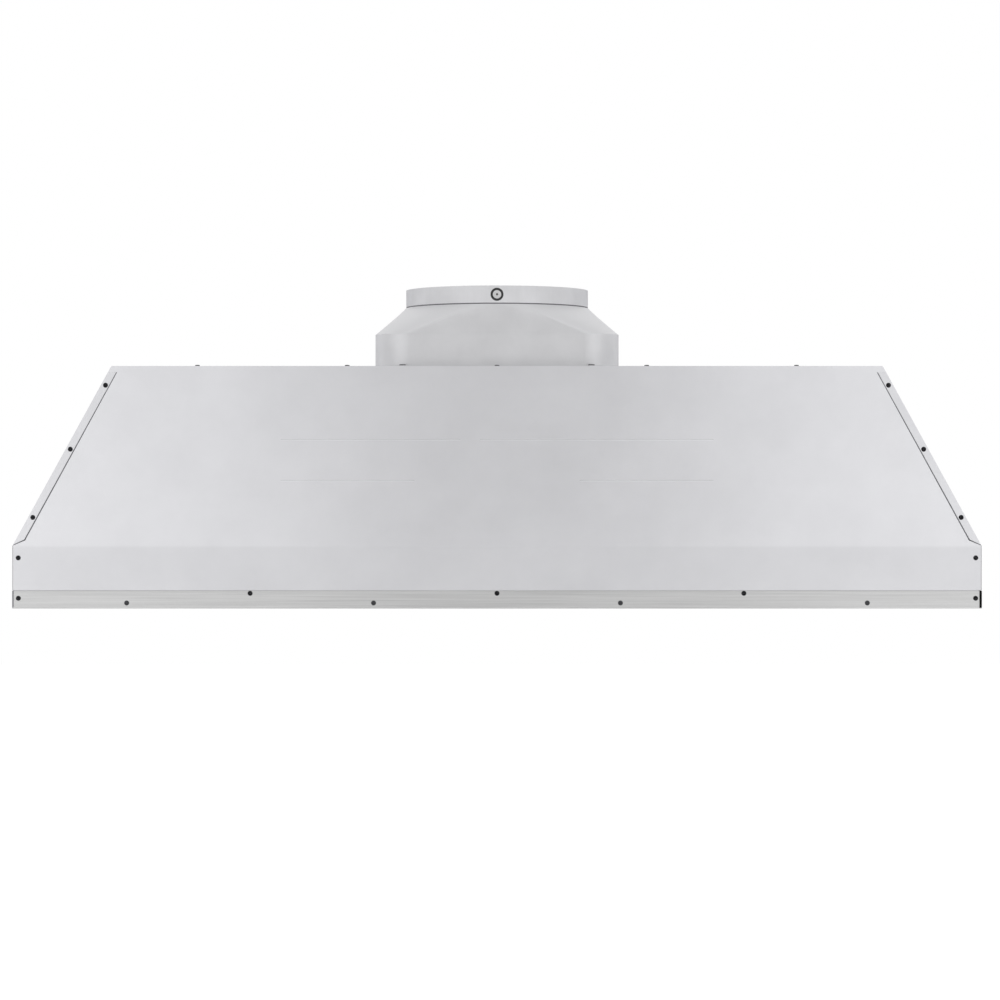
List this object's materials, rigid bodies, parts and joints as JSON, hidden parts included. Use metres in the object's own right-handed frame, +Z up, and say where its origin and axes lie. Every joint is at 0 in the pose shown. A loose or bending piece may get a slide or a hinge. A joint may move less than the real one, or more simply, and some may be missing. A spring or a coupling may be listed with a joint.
{
  "type": "wall mount range hood",
  "caption": "Sheet steel range hood body with a sloped canopy, round duct collar and damper, centrifugal blower, hinged baffle filters, lamps and push buttons.",
  "frame": {"origin": "middle of the hood's plan at the underside of the bottom pan", "axes": "+X to the right seen from the wall side, +Y out of the wall towards the cook, +Z up"},
  "size_m": [1.031, 0.502, 0.3455],
  "materials": {
    "casing_steel": "satin, fine even grain",
    "galvanised_steel": "bare galvanised sheet",
    "band_steel": "brushed along its length",
    "transition_steel": "pressed satin sheet",
    "bright_steel": "turned bar",
    "aluminium_sheet": "mill finish",
    "black_nylon": "moulded, matt",
    "seal_rubber": "soft black rubber",
    "wheel_paint": "black coated steel",
    "motor_enamel": "dark enamel",
    "capacitor_case": "moulded, light",
    "filter_steel": "satin stainless sheet",
    "bail_chrome": "plated wire",
    "magnet": "nickel grey",
    "lamp_bezel": "satin anodised",
    "lamp_lens": "frosted",
    "lamp_heatsink": "cast, matt",
    "circuit_board": "laminate",
    "button_metal": "turned, satin face",
    "cable_sheath": "matt sheath",
    "black_screws": "black oxide"
  },
  "bodies": {
    "hood": {"back_panel": "casing_steel", "left_side_panel": "casing_steel", "right_side_panel": "casing_steel", "front_panel": "casing_steel", "top_panel": "casing_steel", "back_stiffener": "galvanised_steel", "scroll_wrap": "galvanised_steel", "left_scroll_plate": "galvanised_steel", "right_scroll_plate": "galvanised_steel", "motor_spider": "galvanised_steel", "junction_box": "galvanised_steel", "junction_cover": "galvanised_steel", "bottom_pan": "band_steel", "duct_transition": "transition_steel", "duct_collar": "transition_steel", "damper_axle": "bright_steel", "filter_rod": "bright_steel", "damper_bush_rear": "black_nylon", "damper_bush_front": "black_nylon", "cable_bush": "black_nylon", "cable_clips": "black_nylon", "switch_box": "black_nylon", "damper_seal": "seal_rubber", "motor": "motor_enamel", "capacitor": "capacitor_case", "filter_magnets": "magnet", "left_lamp_bezel": "lamp_bezel", "right_lamp_bezel": "lamp_bezel", "left_lamp_lens": "lamp_lens", "right_lamp_lens": "lamp_lens", "left_lamp_body": "lamp_heatsink", "right_lamp_body": "lamp_heatsink", "switch_board": "circuit_board", "motor_cable": "cable_sheath", "switch_cable": "cable_sheath", "left_lamp_cable": "cable_sheath", "right_lamp_cable": "cable_sheath", "back_screws": "black_screws", "top_screws": "black_screws", "transition_screws": "black_screws", "blower_screws": "black_screws"},
    "left_flap": {"left_damper_flap": "aluminium_sheet"},
    "right_flap": {"right_damper_flap": "aluminium_sheet"},
    "rotor": {"impeller": "wheel_paint", "motor_shaft": "bright_steel"},
    "left_filter": {"left_filter_frame": "filter_steel", "left_filter_baffles": "filter_steel"},
    "left_bail": {"left_filter_bail": "bail_chrome"},
    "centre_filter": {"centre_filter_frame": "filter_steel", "centre_filter_baffles": "filter_steel"},
    "centre_bail": {"centre_filter_bail": "bail_chrome"},
    "right_filter": {"right_filter_frame": "filter_steel", "right_filter_baffles": "filter_steel"},
    "right_bail": {"right_filter_bail": "bail_chrome"},
    "power_button": {"power_button": "button_metal"},
    "low_button": {"low_button": "button_metal"},
    "medium_button": {"medium_button": "button_metal"},
    "high_button": {"high_button": "button_metal"},
    "lamp_button": {"lamp_button": "button_metal"}
  },
  "joints": [
    {"name": "left_damper", "type": "hinge", "parent": "hood", "child": "left_flap", "pos_m": [0, -0.121, 0.336], "axis": [0, 1, 0], "range_deg": [0, 80]},
    {"name": "right_damper", "type": "hinge", "parent": "hood", "child": "right_flap", "pos_m": [0, -0.121, 0.336], "axis": [0, -1, 0], "range_deg": [0, 80]},
    {"name": "fan", "type": "hinge", "parent": "hood", "child": "rotor", "pos_m": [0, -0.062, 0.162], "axis": [1, 0, 0], "continuous": true},
    {"name": "left_filter_swing", "type": "hinge", "parent": "hood", "child": "left_filter", "pos_m": [-0.305, -0.1995, 0.03], "axis": [-1, 0, 0], "range_deg": [0, 75]},
    {"name": "left_bail_swing", "type": "hinge", "parent": "left_filter", "child": "left_bail", "pos_m": [-0.305, 0.117, 0.022], "axis": [1, 0, 0], "range_deg": [-80, 80]},
    {"name": "centre_filter_swing", "type": "hinge", "parent": "hood", "child": "centre_filter", "pos_m": [0, -0.1995, 0.03], "axis": [-1, 0, 0], "range_deg": [0, 75]},
    {"name": "centre_bail_swing", "type": "hinge", "parent": "centre_filter", "child": "centre_bail", "pos_m": [0, 0.117, 0.022], "axis": [1, 0, 0], "range_deg": [-80, 80]},
    {"name": "right_filter_swing", "type": "hinge", "parent": "hood", "child": "right_filter", "pos_m": [0.305, -0.1995, 0.03], "axis": [-1, 0, 0], "range_deg": [0, 75]},
    {"name": "right_bail_swing", "type": "hinge", "parent": "right_filter", "child": "right_bail", "pos_m": [0.305, 0.117, 0.022], "axis": [1, 0, 0], "range_deg": [-80, 80]},
    {"name": "power_press", "type": "slide", "parent": "hood", "child": "power_button", "axis": [0, -1, 0], "range_m": [0, 0.002], "stiffness_N_per_m": 300, "springref_m": -0.001},
    {"name": "low_press", "type": "slide", "parent": "hood", "child": "low_button", "axis": [0, -1, 0], "range_m": [0, 0.002], "stiffness_N_per_m": 300, "springref_m": -0.001},
    {"name": "medium_press", "type": "slide", "parent": "hood", "child": "medium_button", "axis": [0, -1, 0], "range_m": [0, 0.002], "stiffness_N_per_m": 300, "springref_m": -0.001},
    {"name": "high_press", "type": "slide", "parent": "hood", "child": "high_button", "axis": [0, -1, 0], "range_m": [0, 0.002], "stiffness_N_per_m": 300, "springref_m": -0.001},
    {"name": "lamp_press", "type": "slide", "parent": "hood", "child": "lamp_button", "axis": [0, -1, 0], "range_m": [0, 0.002], "stiffness_N_per_m": 300, "springref_m": -0.001}
  ]
}
